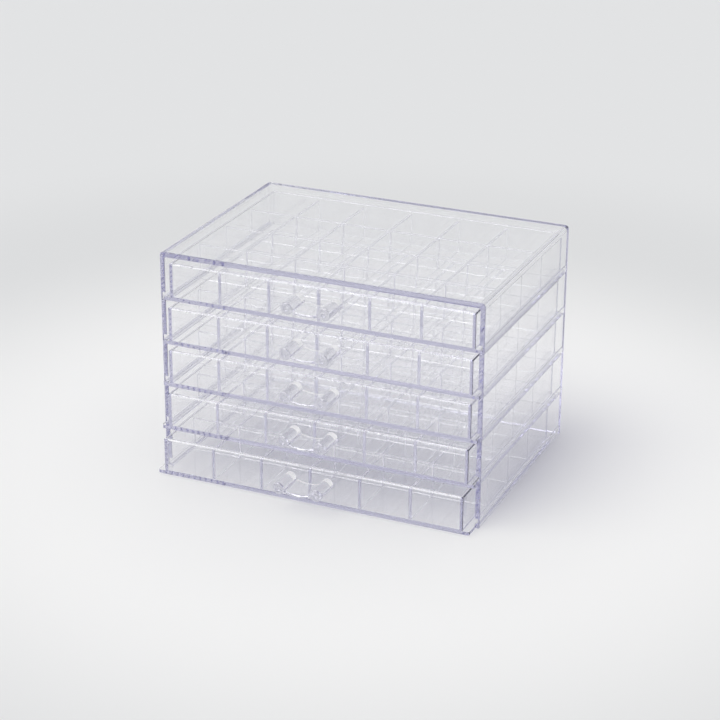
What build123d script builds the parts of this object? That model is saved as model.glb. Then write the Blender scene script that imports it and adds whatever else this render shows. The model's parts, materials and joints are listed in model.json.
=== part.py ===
from build123d import *
import os

# A clear moulded organizer: an open-fronted case with five drawers on grooved runners, each
# drawer a flanged tray with a grid of cross-lapped dividers and a moulded two-post pull.
# X runs across the front, Y from the front to the back, Z up. The origin is on the table, at
# the centre of the box round the whole object with its drawers pulled out as below.

# Case, millimetres
case_width = 220.0
case_depth = 156.0
case_height = 150.0
side_wall = 3.2
top_wall = 3.4
back_wall = 3.2
case_corner_radius = 2.5
foot_edge_radius = 0.9
cavity_corner_radius = 1.2

# Runners: grooves in the side walls, each floored by a ledge that carries one drawer
drawer_count = 5
foot_height = 1.5
groove_height = 5.0
groove_skin = 1.0
groove_lead_in = 0.8

# How far each drawer stands out of the case, from the top one down
drawer_pulls = [0.0, 3.0, 4.0, 7.0, 14.0]

# Drawer tray
tray_wall = 2.2
tray_floor = 2.2
tray_side_gap = 2.8
tray_headroom = 4.0
tray_rear_gap = 1.2
rail_side_clearance = 0.4
rail_ride_clearance = 0.1
rail_corner_radius = 1.5
tray_corner_radius = 1.2
rim_bevel = 0.7

# Divider grid
compartments_across = 6
compartments_deep = 4
divider_thickness = 2.0
divider_drop = 1.8
divider_end_clearance = 0.2
divider_seat_clearance = 0.05
slot_clearance = 0.15
slot_depth_clearance = 0.25
divider_edge_bevel = 0.3

# Pull
post_radius = 4.0
post_spacing = 25.6
pull_length = 18.5
pull_axis_rise = 3.4
pull_seat_clearance = 0.05
web_thickness = 1.7
web_sag = 2.9
web_root_radius = 0.8
post_end_bevel = 0.5

# Worked out from the sizes above
bay_height = (case_height - top_wall - foot_height) / drawer_count
tray_height = bay_height - tray_headroom
tray_depth = case_depth - back_wall - tray_rear_gap
tray_width = case_width - 2 * (side_wall + tray_side_gap)
rail_width = case_width - 2 * (groove_skin + rail_side_clearance)
inner_width = tray_width - 2 * tray_wall
inner_depth = tray_depth - 2 * tray_wall
divider_base = tray_floor + divider_seat_clearance
divider_height = tray_height - divider_base - divider_drop
column_pitch = (inner_width + divider_thickness) / compartments_across
row_pitch = (inner_depth + divider_thickness) / compartments_deep
pull_axis_height = tray_height / 2 + pull_axis_rise
front_reach = max(drawer_pulls) + pull_seat_clearance + pull_length
case_front = (front_reach - case_depth) / 2

FRONT_VIEW = Plane(origin=(0, 0, 0), x_dir=(1, 0, 0), z_dir=(0, -1, 0))


def ledge_height(level):
    """Top of the ledge that carries the drawer on this level, counted from the lowest."""
    return foot_height + level * bay_height


def grid_places(count, pitch):
    """Centres of the dividers between count equal compartments, about the middle."""
    return [(index - count / 2) * pitch for index in range(1, count)]


def make_case():
    """One moulding: top, sides and back, open at the front and below, with five groove pairs."""
    with BuildPart() as case:
        with BuildSketch(Plane.XY):
            with Locations((0, case_depth / 2)):
                Rectangle(case_width, case_depth)
        extrude(amount=case_height)
        back = case.faces().sort_by(Axis.Y)[-1]
        top = case.faces().sort_by(Axis.Z)[-1]
        long_edges = top.edges().filter_by(Axis.Y)
        upright_edges = back.edges().filter_by(Axis.Z)
        rear_top_edge = back.edges().filter_by(Axis.X).sort_by(Axis.Z)[-1]
        fillet(long_edges + upright_edges + [rear_top_edge], radius=case_corner_radius)
        underside = case.faces().sort_by(Axis.Z)[0]
        foot_edges = underside.edges() - underside.edges().group_by(Axis.Y)[0]
        fillet(foot_edges, radius=foot_edge_radius)

        cavity_width = case_width - 2 * side_wall
        cavity_height = case_height - top_wall
        with BuildSketch(FRONT_VIEW) as bore:
            with Locations((0, cavity_height / 2)):
                Rectangle(cavity_width, cavity_height)
            fillet(bore.vertices().group_by(Axis.Y)[-1], radius=cavity_corner_radius)
            for level in range(drawer_count):
                with Locations((0, ledge_height(level) + groove_height / 2)):
                    Rectangle(case_width - 2 * groove_skin, groove_height)
        extrude(amount=-(case_depth - back_wall), mode=Mode.SUBTRACT)

        for level in range(1, drawer_count):
            ledge = ledge_height(level)
            level_edges = case.faces().sort_by(Axis.Y)[0].edges().filter_by(Axis.X)
            ledge_lips = level_edges.filter_by_position(
                Axis.Z, ledge - groove_lead_in, ledge + groove_lead_in)
            chamfer(ledge_lips, length=groove_lead_in)
    return case.part


def make_tray():
    """A tray on a floor plate whose side edges stand out as rails that run in the grooves."""
    with BuildPart() as tray:
        with BuildSketch(Plane.XY):
            with Locations((0, tray_depth / 2)):
                RectangleRounded(rail_width, tray_depth, rail_corner_radius)
        extrude(amount=tray_floor)
        with BuildSketch(Plane.XY.offset(tray_floor)):
            with Locations((0, tray_depth / 2)):
                RectangleRounded(tray_width, tray_depth, tray_corner_radius)
                Rectangle(inner_width, inner_depth, mode=Mode.SUBTRACT)
        extrude(amount=tray_height - tray_floor)
        rim = tray.faces().sort_by(Axis.Z)[-1]
        chamfer(rim.edges(), length=rim_bevel)
    return tray.part


def make_pull():
    """Two round posts joined by a web that sags between them, as one moulding."""
    web_half_span = post_spacing / 2
    with BuildPart() as pull:
        with BuildSketch(FRONT_VIEW) as outline:
            with BuildLine():
                ThreePointArc((-web_half_span, 0), (0, -web_sag), (web_half_span, 0))
                offset(amount=web_thickness / 2)
            make_face()
            with Locations((-web_half_span, 0), (web_half_span, 0)):
                Circle(post_radius)
            roots = [v for v in outline.vertices() if abs(v.X) < web_half_span]
            fillet(roots, radius=web_root_radius)
        extrude(amount=pull_length)
        front = pull.faces().sort_by(Axis.Y)[0]
        chamfer(front.edges(), length=post_end_bevel)
    return pull.part


def make_divider(length, slot_places, slots_open_up):
    """A flat plate along X, slotted to its middle at each crossing, with a bevelled top edge."""
    slot_width = divider_thickness + 2 * slot_clearance
    slot_depth = divider_height / 2 + slot_depth_clearance
    slot_centre = divider_height - slot_depth / 2 if slots_open_up else slot_depth / 2
    with BuildPart() as divider:
        with BuildSketch(FRONT_VIEW.offset(-divider_thickness / 2)):
            with Locations((0, divider_height / 2)):
                Rectangle(length, divider_height)
            with Locations([(place, slot_centre) for place in slot_places]):
                Rectangle(slot_width, slot_depth, mode=Mode.SUBTRACT)
        extrude(amount=divider_thickness)
        top_edges = divider.edges().filter_by(Axis.X).group_by(Axis.Z)[-1]
        chamfer(top_edges, length=divider_edge_bevel)
    return divider.part


def export(solid, name):
    """Write one piece, moved from the case front to the object's own origin."""
    placed = Pos(0, case_front, 0) * solid
    placed.label = name
    export_step(placed, f"parts/{name}.step")


column_places = grid_places(compartments_across, column_pitch)
row_places = grid_places(compartments_deep, row_pitch)

case_shell = make_case()
tray = make_tray()
pull = make_pull()
column_divider = Rot(0, 0, 90) * make_divider(
    inner_depth - 2 * divider_end_clearance, row_places, slots_open_up=True)
row_divider = make_divider(
    inner_width - 2 * divider_end_clearance, column_places, slots_open_up=False)

os.makedirs("parts", exist_ok=True)
export(case_shell, "case_shell")
for number, pulled_out in enumerate(drawer_pulls, start=1):
    ride_height = ledge_height(drawer_count - number) + rail_ride_clearance
    place = Pos(0, -pulled_out, ride_height)
    export(place * tray, f"drawer_tray_{number}")
    pull_seat = Pos(0, -pull_seat_clearance, pull_axis_height)
    export(place * pull_seat * pull, f"drawer_pull_{number}")
    for index, x in enumerate(column_places, start=1):
        seat = Pos(x, tray_depth / 2, divider_base)
        export(place * seat * column_divider, f"column_divider_{number}_{index}")
    for index, y in enumerate(row_places, start=1):
        seat = Pos(0, tray_depth / 2 + y, divider_base)
        export(place * seat * row_divider, f"row_divider_{number}_{index}")
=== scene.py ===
import json
import math

import bmesh
import bpy
import numpy as np
from mathutils import Matrix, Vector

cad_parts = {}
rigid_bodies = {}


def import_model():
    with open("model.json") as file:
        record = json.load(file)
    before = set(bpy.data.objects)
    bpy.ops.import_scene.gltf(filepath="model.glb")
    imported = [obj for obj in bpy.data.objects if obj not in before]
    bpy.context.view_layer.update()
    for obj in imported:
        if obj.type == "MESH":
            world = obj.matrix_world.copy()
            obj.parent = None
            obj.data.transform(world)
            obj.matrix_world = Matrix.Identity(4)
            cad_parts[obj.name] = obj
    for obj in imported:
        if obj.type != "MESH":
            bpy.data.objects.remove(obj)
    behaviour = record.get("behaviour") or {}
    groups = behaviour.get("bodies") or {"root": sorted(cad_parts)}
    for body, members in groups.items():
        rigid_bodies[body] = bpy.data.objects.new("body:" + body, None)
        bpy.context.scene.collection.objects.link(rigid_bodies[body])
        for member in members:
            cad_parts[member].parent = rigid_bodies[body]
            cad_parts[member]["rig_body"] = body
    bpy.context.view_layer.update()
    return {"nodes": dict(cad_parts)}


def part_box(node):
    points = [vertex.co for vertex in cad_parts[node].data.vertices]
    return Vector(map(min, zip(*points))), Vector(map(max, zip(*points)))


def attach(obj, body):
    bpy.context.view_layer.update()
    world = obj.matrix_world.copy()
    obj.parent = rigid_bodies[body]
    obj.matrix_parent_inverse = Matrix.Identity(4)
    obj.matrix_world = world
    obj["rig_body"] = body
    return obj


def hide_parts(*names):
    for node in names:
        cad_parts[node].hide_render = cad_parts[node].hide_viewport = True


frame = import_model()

# Clear five-drawer jewellery organizer on a pale table. Lengths are metres, in the CAD's frame.

MM = 0.001
NEAR = 0.01 * MM
MERGE = 0.001 * MM

# Colours, sRGB
# Painted light and shade on the table paper: lighter near the object, darker in a ring behind it
TABLE_NEAR_PAINTED_LIGHT = "#F5F5F5"
TABLE_PAINTED_SHADE_RING = "#DDDEDF"
TABLE_FAR = "#E3E4E5"
BACKDROP = "#E4E5E6"
CEILING = "#BCBEC2"
ROOM_WHITE = "#FFFFFF"
CLEAR = "#FFFFFF"
PAST_ONE_FACE = "#F9F9FA"

# The resin's toner: the colour that a long way through it tends to, and how fast, per metre
WALL_TONER = "#3000B6"
PULL_TONER = "#300095"
wall_toner_depth = 2.8
pull_toner_depth = 7.5

# Polystyrene's index, and the haze that handling leaves on its polish
polystyrene_ior = 1.59
handling_patch = 14 * MM
handling_detail = 5.0
handling_roughness = 0.6
haze_starts = 0.35
haze_full = 0.75
clearest = 0.0
haziest = 0.02

# Flow ripple of the mouldings, broader on the larger ones
case_ripple = 35 * MM
tray_ripple = 25 * MM
divider_ripple = 20 * MM
pull_ripple = 6 * MM
wall_ripple_lift = 0.002 * MM
pull_ripple_lift = 0.003 * MM
ripple_detail = 2.0
ripple_roughness = 0.4

# Small round along the edges, and how sharp an edge has to be to get it
case_ease = 0.7 * MM
plate_ease = 0.3 * MM
pull_ease = 0.25 * MM
ease_steps = 3
square_edge = math.radians(60)
post_end_edge = math.radians(35)

# Faces that turn less than this lie in one plane, or shade as one
one_plane = math.radians(0.5)
one_curve = math.radians(30)
full_face_weight = 100

# Tray rim, divider top and pull
tray_wall = 2.2 * MM
rim_bevel = 0.7 * MM
rim_crisp = 0.15 * MM
divider_edge_bevel = 0.3 * MM
divider_crisp = 0.1 * MM
post_radius = 4.0 * MM
gate_ball_radius = 2.2 * MM
gate_depth = 1.1 * MM
ball_rows = 24
ball_turns = 32

# The two colour inputs and the colour output of a Mix node
COLOUR_A = 6
COLOUR_B = 7
MIXED = 2


def linear(code):
    """The linear RGBA of an sRGB hex colour."""
    srgb = np.array([int(code[at:at + 2], 16) for at in (1, 3, 5)]) / 255
    rgb = np.where(srgb <= 0.04045, srgb / 12.92, ((srgb + 0.055) / 1.055) ** 2.4)
    return (*rgb.tolist(), 1.0)


def add(tree, kind, inputs=None, **settings):
    """Adds a node with its settings; inputs holds plain values and the outputs to link."""
    node = tree.nodes.new(kind)
    for name, value in settings.items():
        setattr(node, name, value)
    for name, value in (inputs or {}).items():
        if isinstance(value, bpy.types.NodeSocket):
            tree.links.new(value, node.inputs[name])
        else:
            node.inputs[name].default_value = value
    return node


def new_material(name):
    """An empty node material and its output node."""
    material = bpy.data.materials.new(name)
    material.use_nodes = True
    material.node_tree.nodes.clear()
    return material, material.node_tree.nodes.new("ShaderNodeOutputMaterial")


def moulded_polystyrene(name, ripple, ripple_lift, toner_colour, toner_depth):
    """Clear polystyrene from a polished mould. Wide faces all but vanish, and light that runs the
    long way inside a wall comes out of its edges a greyed lavender, from the resin's toner. The
    flow of the resin leaves low waves, ripple apart and ripple_lift high, and hands leave a haze
    in patches. Light for the table passes straight through, a little weaker past each face."""
    material, output = new_material(name)
    tree = material.node_tree
    place = add(tree, "ShaderNodeTexCoord").outputs["Object"]
    flow = add(tree, "ShaderNodeTexNoise", {
        "Vector": place, "Scale": 1 / ripple, "Detail": ripple_detail,
        "Roughness": ripple_roughness})
    waves = add(tree, "ShaderNodeBump", {
        "Height": flow.outputs["Fac"], "Distance": ripple_lift, "Strength": 1.0})
    handling = add(tree, "ShaderNodeTexNoise", {
        "Vector": place, "Scale": 1 / handling_patch, "Detail": handling_detail,
        "Roughness": handling_roughness})
    haze = add(tree, "ShaderNodeMapRange", {
        "Value": handling.outputs["Fac"], "From Min": haze_starts, "From Max": haze_full,
        "To Min": clearest, "To Max": haziest})
    resin = add(tree, "ShaderNodeBsdfPrincipled", {
        "Base Color": linear(CLEAR), "Transmission Weight": 1.0, "IOR": polystyrene_ior,
        "Roughness": haze.outputs["Result"], "Normal": waves.outputs["Normal"]})
    toner = add(tree, "ShaderNodeVolumeAbsorption", {
        "Color": linear(toner_colour), "Density": toner_depth})
    rays = add(tree, "ShaderNodeLightPath")
    soft_light = add(tree, "ShaderNodeMath", {
        0: rays.outputs["Is Shadow Ray"], 1: rays.outputs["Is Diffuse Ray"]}, operation="MAXIMUM")
    let_light_by = add(tree, "ShaderNodeBsdfTransparent", {"Color": linear(PAST_ONE_FACE)})
    surface = add(tree, "ShaderNodeMixShader", {
        0: soft_light.outputs[0], 1: resin.outputs[0], 2: let_light_by.outputs[0]})
    tree.links.new(surface.outputs[0], output.inputs["Surface"])
    tree.links.new(toner.outputs[0], output.inputs["Volume"])
    return material


def whole_faces(name):
    """A mesh with the CAD node's own faces: its loose triangles, merged where they touch, and
    joined again wherever neighbours lie in one plane."""
    source = frame["nodes"][name].data
    places = np.empty(len(source.vertices) * 3)
    source.vertices.foreach_get("co", places)
    corners = np.empty(len(source.loops), int)
    source.loops.foreach_get("vertex_index", corners)
    mesh = bpy.data.meshes.new(name + "_moulded")
    mesh.from_pydata(places.reshape(-1, 3), [], corners.reshape(-1, 3).tolist())
    faces = bmesh.new()
    faces.from_mesh(mesh)
    bmesh.ops.remove_doubles(faces, verts=faces.verts, dist=MERGE)
    bmesh.ops.dissolve_limit(
        faces, angle_limit=one_plane, verts=faces.verts, edges=faces.edges)
    faces.to_mesh(mesh)
    faces.free()
    return mesh


def vertex_places(mesh):
    """The places of a mesh's vertices, one row each."""
    places = np.empty(len(mesh.vertices) * 3)
    mesh.vertices.foreach_get("co", places)
    return places.reshape(-1, 3)


def crisp_rim(mesh):
    """Draws a tray rim's inner bevel in to rim_crisp. The bevel's upper line moves in to that far
    from the wall's inner face, and its lower line moves up to that far below the rim."""
    places = vertex_places(mesh)
    rim_top = places[:, 2].max()
    on_rim = places[:, 2] > rim_top - NEAR
    wall_low = places[on_rim, :2].min(axis=0) - rim_bevel + tray_wall
    wall_high = places[on_rim, :2].max(axis=0) + rim_bevel - tray_wall
    hollow = np.all((places[:, :2] > wall_low - rim_bevel - NEAR)
                    & (places[:, :2] < wall_high + rim_bevel + NEAR), axis=1)
    upper_line = hollow & on_rim
    lower_line = hollow & (np.abs(places[:, 2] - (rim_top - rim_bevel)) < NEAR)
    places[upper_line, :2] = np.clip(
        places[upper_line, :2], wall_low - rim_crisp, wall_high + rim_crisp)
    places[lower_line, 2] = rim_top - rim_crisp
    mesh.vertices.foreach_set("co", places.ravel())
    return mesh


def crisp_top(mesh):
    """Draws a divider's top bevels in to divider_crisp. Their upper lines move out to that far
    from the plate's faces, and their lower lines move up to that far below its top."""
    places = vertex_places(mesh)
    low, high = places.min(axis=0), places.max(axis=0)
    across = int(np.argmin(high[:2] - low[:2]))
    on_top = places[:, 2] > high[2] - NEAR
    on_shoulder = np.abs(places[:, 2] - (high[2] - divider_edge_bevel)) < NEAR
    middle = (low[across] + high[across]) / 2
    reach = (high[across] - low[across]) / 2
    side = np.sign(places[on_top, across] - middle)
    places[on_top, across] = middle + side * (reach - divider_crisp)
    places[on_shoulder, 2] = high[2] - divider_crisp
    mesh.vertices.foreach_set("co", places.ravel())
    return mesh


def ball(centre, radius):
    """A closed sphere, centre + radius (sin u cos v, sin u sin v, cos u), with u from pole to pole
    and v once round."""
    u = np.linspace(0, math.pi, ball_rows + 1)[1:-1, None]
    v = np.linspace(0, 2 * math.pi, ball_turns, endpoint=False)[None, :]
    rings = np.stack([np.sin(u) * np.cos(v), np.sin(u) * np.sin(v), np.cos(u) + 0 * v], axis=-1)
    points = np.vstack([rings.reshape(-1, 3), [[0, 0, 1]], [[0, 0, -1]]])
    here = np.arange((ball_rows - 1) * ball_turns).reshape(ball_rows - 1, ball_turns)
    beside = np.roll(here, -1, axis=1)
    sides = np.stack([here[:-1], here[1:], beside[1:], beside[:-1]], axis=-1).reshape(-1, 4)
    top = np.full(ball_turns, here.size)
    bottom = np.full(ball_turns, here.size + 1)
    top_cap = np.stack([top, here[0], beside[0]], axis=-1)
    bottom_cap = np.stack([bottom, beside[-1], here[-1]], axis=-1)
    mesh = bpy.data.meshes.new("ball")
    mesh.from_pydata((np.array(centre) + radius * points).tolist(), [],
                     sides.tolist() + top_cap.tolist() + bottom_cap.tolist())
    return mesh


def gate_marked(name, mesh):
    """A pull with the round dimple in the end of each post where the resin ran into the mould."""
    low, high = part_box(name)
    marked = bpy.data.objects.new("marked_pull", mesh)
    bpy.context.scene.collection.objects.link(marked)
    cutters = []
    for side in (low[0] + post_radius, high[0] - post_radius):
        centre = (side, low[1] - gate_ball_radius + gate_depth, high[2] - post_radius)
        cutter = bpy.data.objects.new("gate", ball(centre, gate_ball_radius))
        bpy.context.scene.collection.objects.link(cutter)
        cut = marked.modifiers.new("gate", "BOOLEAN")
        cut.object = cutter
        cutters.append(cutter)
    graph = bpy.context.evaluated_depsgraph_get()
    pull_mesh = bpy.data.meshes.new_from_object(marked.evaluated_get(graph))
    pull_mesh.name = mesh.name
    for spare in [marked, *cutters]:
        bpy.data.objects.remove(spare)
    return pull_mesh


def mould(name, mesh, ease_width, edge_angle, material):
    """Stands a moulded piece in for a CAD node: its faces, with the small round that the mould's
    cutter and its polish leave along each edge sharper than edge_angle."""
    mesh.shade_smooth()
    mesh.set_sharp_from_angle(angle=one_curve)
    piece = bpy.data.objects.new(name + "_moulded", mesh)
    bpy.context.scene.collection.objects.link(piece)
    mesh.materials.append(material)
    ease = piece.modifiers.new("eased_edges", "BEVEL")
    ease.width = ease_width
    ease.segments = ease_steps
    ease.limit_method = "ANGLE"
    ease.angle_limit = edge_angle
    ease.harden_normals = True
    flat = piece.modifiers.new("flat_faces", "WEIGHTED_NORMAL")
    flat.weight = full_face_weight
    flat.keep_sharp = True
    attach(piece, frame["nodes"][name]["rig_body"])
    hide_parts(name)


def named(start):
    """The CAD nodes whose names begin in this way."""
    return [name for name in frame["nodes"] if name.startswith(start)]


# The case's broad walls are the clearest, and show by their lavender edges
case_plastic = moulded_polystyrene(
    "moulded_polystyrene_case", case_ripple, wall_ripple_lift, WALL_TONER, wall_toner_depth)

# The trays and their plates are the same resin, with closer waves from their thinner walls
tray_plastic = moulded_polystyrene(
    "moulded_polystyrene_tray", tray_ripple, wall_ripple_lift, WALL_TONER, wall_toner_depth)
divider_plastic = moulded_polystyrene(
    "moulded_polystyrene_divider", divider_ripple, wall_ripple_lift, WALL_TONER,
    wall_toner_depth)

# The pulls are thick and toned deeper, so that their posts stand out as greyed lenses
pull_plastic = moulded_polystyrene(
    "moulded_polystyrene_pull", pull_ripple, pull_ripple_lift, PULL_TONER, pull_toner_depth)

for name in named("case_shell"):
    mould(name, whole_faces(name), case_ease, square_edge, case_plastic)
for name in named("drawer_tray"):
    tray = crisp_rim(whole_faces(name))
    mould(name, tray, plate_ease, square_edge, tray_plastic)
for name in named("column_divider") + named("row_divider"):
    plate = crisp_top(whole_faces(name))
    mould(name, plate, plate_ease, square_edge, divider_plastic)
for name in named("drawer_pull"):
    pull = gate_marked(name, whole_faces(name))
    mould(name, pull, pull_ease, post_end_edge, pull_plastic)

# Table: matt paper, with light and shade painted in its colour: a painted pool of light near
# the object, painted shade in a broad ring behind it, and paler again far off

table_size = 12.0
table_drop = 0.2 * MM
# Reaches of the painted shade ring around the object, and of its fade to the far paper
painted_shade_reach = (0.2, 0.46)
painted_shade_fade_reach = (0.48, 0.68)
paper_roughness = 0.6
paper_sheen = 0.2


def smooth_ramp(tree, value, reach):
    """A factor that eases from 0 to 1 as the value goes over the reach."""
    ramp = add(tree, "ShaderNodeMapRange", {
        "Value": value, "From Min": reach[0], "From Max": reach[1],
        "To Min": 0.0, "To Max": 1.0}, interpolation_type="SMOOTHSTEP")
    return ramp.outputs["Result"]


def matt_paper_sweep():
    """Uncoated studio paper: a matt face with only a faint sheen. Its colour paints light and
    shade by its reach from the object's origin: a painted pool of light near, painted shade in a
    ring beyond, and paler again far off."""
    material, output = new_material("matt_paper_sweep")
    tree = material.node_tree
    place = add(tree, "ShaderNodeTexCoord").outputs["Object"]
    reach = add(tree, "ShaderNodeVectorMath", {0: place}, operation="LENGTH").outputs["Value"]
    # Painted light and shade: the paper's colour is lighter near the object and darker in the ring
    # beyond
    painted_light_and_shade_near = add(tree, "ShaderNodeMix", {
        "Factor": smooth_ramp(tree, reach, painted_shade_reach),
        COLOUR_A: linear(TABLE_NEAR_PAINTED_LIGHT), COLOUR_B: linear(TABLE_PAINTED_SHADE_RING)}, data_type="RGBA")
    painted_light_and_shade_paper = add(tree, "ShaderNodeMix", {
        "Factor": smooth_ramp(tree, reach, painted_shade_fade_reach),
        COLOUR_A: painted_light_and_shade_near.outputs[MIXED], COLOUR_B: linear(TABLE_FAR)}, data_type="RGBA")
    paper = add(tree, "ShaderNodeBsdfPrincipled", {
        "Base Color": painted_light_and_shade_paper.outputs[MIXED], "Roughness": paper_roughness,
        "Specular IOR Level": paper_sheen})
    tree.links.new(paper.outputs[0], output.inputs["Surface"])
    return material


half = table_size / 2
table_mesh = bpy.data.meshes.new("table_top")
table_mesh.from_pydata(
    [(-half, -half, -table_drop), (half, -half, -table_drop),
     (half, half, -table_drop), (-half, half, -table_drop)], [], [(0, 1, 2, 3)])
table_mesh.materials.append(matt_paper_sweep())
table_top = bpy.data.objects.new("table_top", table_mesh)
bpy.context.scene.collection.objects.link(table_top)

# Studio: half the light from all round, half from one softbox; 1 in all renders a colour as written

room_level = 0.5
key_level = 0.5
key_towards = (-0.37, -0.39, 0.84)
key_width = math.radians(46)
ceiling_rise = (0.3, 0.85)


def studio_room():
    """A pale room. The backdrop and the greyer ceiling show to the camera and in gloss and clear
    plastic, and all other rays meet an even white of room_level."""
    world = bpy.data.worlds.new("studio_room")
    world.use_nodes = True
    tree = world.node_tree
    tree.nodes.clear()
    rays = add(tree, "ShaderNodeLightPath").outputs
    seen = add(tree, "ShaderNodeMath", {
        0: rays["Is Camera Ray"], 1: rays["Is Glossy Ray"]}, operation="MAXIMUM")
    seen = add(tree, "ShaderNodeMath", {
        0: seen.outputs[0], 1: rays["Is Transmission Ray"]}, operation="MAXIMUM")
    direction = add(tree, "ShaderNodeTexCoord").outputs["Generated"]
    rise = add(tree, "ShaderNodeSeparateXYZ", {0: direction}).outputs["Z"]
    walls = add(tree, "ShaderNodeMix", {
        "Factor": smooth_ramp(tree, rise, ceiling_rise),
        COLOUR_A: linear(BACKDROP), COLOUR_B: linear(CEILING)}, data_type="RGBA")
    shown = add(tree, "ShaderNodeBackground", {"Color": walls.outputs[MIXED], "Strength": 1.0})
    even = add(tree, "ShaderNodeBackground", {
        "Color": linear(ROOM_WHITE), "Strength": room_level})
    room = add(tree, "ShaderNodeMixShader", {
        0: seen.outputs[0], 1: even.outputs[0], 2: shown.outputs[0]})
    add(tree, "ShaderNodeOutputWorld", {"Surface": room.outputs[0]})
    return world


def far_softbox(name, towards, width, table_level):
    """A soft lamp far up on one side, as a sun lamp as wide as the softbox looks from the table.
    It lights the table by table_level: a lamp of strength S at a slant with cosine c gives the
    level S c / pi."""
    lamp = bpy.data.lights.new(name, "SUN")
    towards = np.array(towards) / np.linalg.norm(towards)
    lamp.angle = width
    lamp.energy = table_level * math.pi / towards[2]
    lamp_object = bpy.data.objects.new(name, lamp)
    side = np.cross((0, 0, 1), towards)
    side /= np.linalg.norm(side)
    turn = Matrix(np.column_stack([side, np.cross(towards, side), towards]).tolist())
    lamp_object.matrix_world = turn.to_4x4()
    bpy.context.scene.collection.objects.link(lamp_object)


bpy.context.scene.world = studio_room()
far_softbox("key_softbox", key_towards, key_width, key_level)

# Camera, fitted to the photograph's corners of the case

camera_place = (0.5158, -1.1704, 0.6153)
yaw = math.radians(-23.72)
pitch = math.radians(23.06)
roll = math.radians(0.24)
sensor_width_mm = 36.0
lens_mm = 106.69
nearest_seen = 0.05
farthest_seen = 50.0

forward = np.array([math.sin(yaw) * math.cos(pitch), math.cos(yaw) * math.cos(pitch),
                    -math.sin(pitch)])
level_right = np.array([math.cos(yaw), -math.sin(yaw), 0.0])
level_up = np.cross(level_right, forward)
right = math.cos(roll) * level_right + math.sin(roll) * level_up
up = math.cos(roll) * level_up - math.sin(roll) * level_right
camera = bpy.data.cameras.new("camera")
camera.sensor_width = sensor_width_mm
camera.lens = lens_mm
camera.clip_start = nearest_seen
camera.clip_end = farthest_seen
camera_object = bpy.data.objects.new("camera", camera)
turn = Matrix(np.column_stack([right, up, -forward]).tolist()).to_4x4()
camera_object.matrix_world = Matrix.Translation(camera_place) @ turn
bpy.context.scene.collection.objects.link(camera_object)
bpy.context.scene.camera = camera_object

# Light passes some forty clear walls before it leaves the far side, and turns back inside many
clear_bounces = 96
cycles = bpy.context.scene.cycles
cycles.max_bounces = clear_bounces
cycles.transmission_bounces = clear_bounces
cycles.glossy_bounces = clear_bounces
cycles.transparent_max_bounces = clear_bounces
bpy.context.scene.view_settings.view_transform = "Standard"
